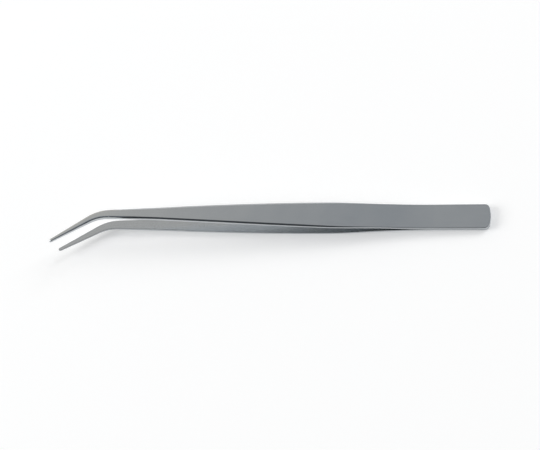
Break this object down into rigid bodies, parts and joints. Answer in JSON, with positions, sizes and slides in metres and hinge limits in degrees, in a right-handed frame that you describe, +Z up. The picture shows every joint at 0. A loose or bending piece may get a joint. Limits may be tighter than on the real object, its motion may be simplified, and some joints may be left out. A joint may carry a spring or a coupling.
{
  "type": "bent tip tweezers",
  "caption": "Slim spring tweezers with a flat welded back end, bowed bevelled arms and fine blunt points turned aside by a gentle bend.",
  "frame": {"origin": "on the surface the tweezers lie on, under the middle of their bounding box", "axes": "+X along the arms towards the welded back end, +Y away from the side the points are turned to, +Z up from the surface they lie on"},
  "size_m": [0.2012, 0.0192, 0.0179],
  "materials": {
    "arm_steel": "fine satin stainless steel"
  },
  "bodies": {
    "root": {"upper_arm": "arm_steel", "lower_arm": "arm_steel"}
  },
  "joints": []
}
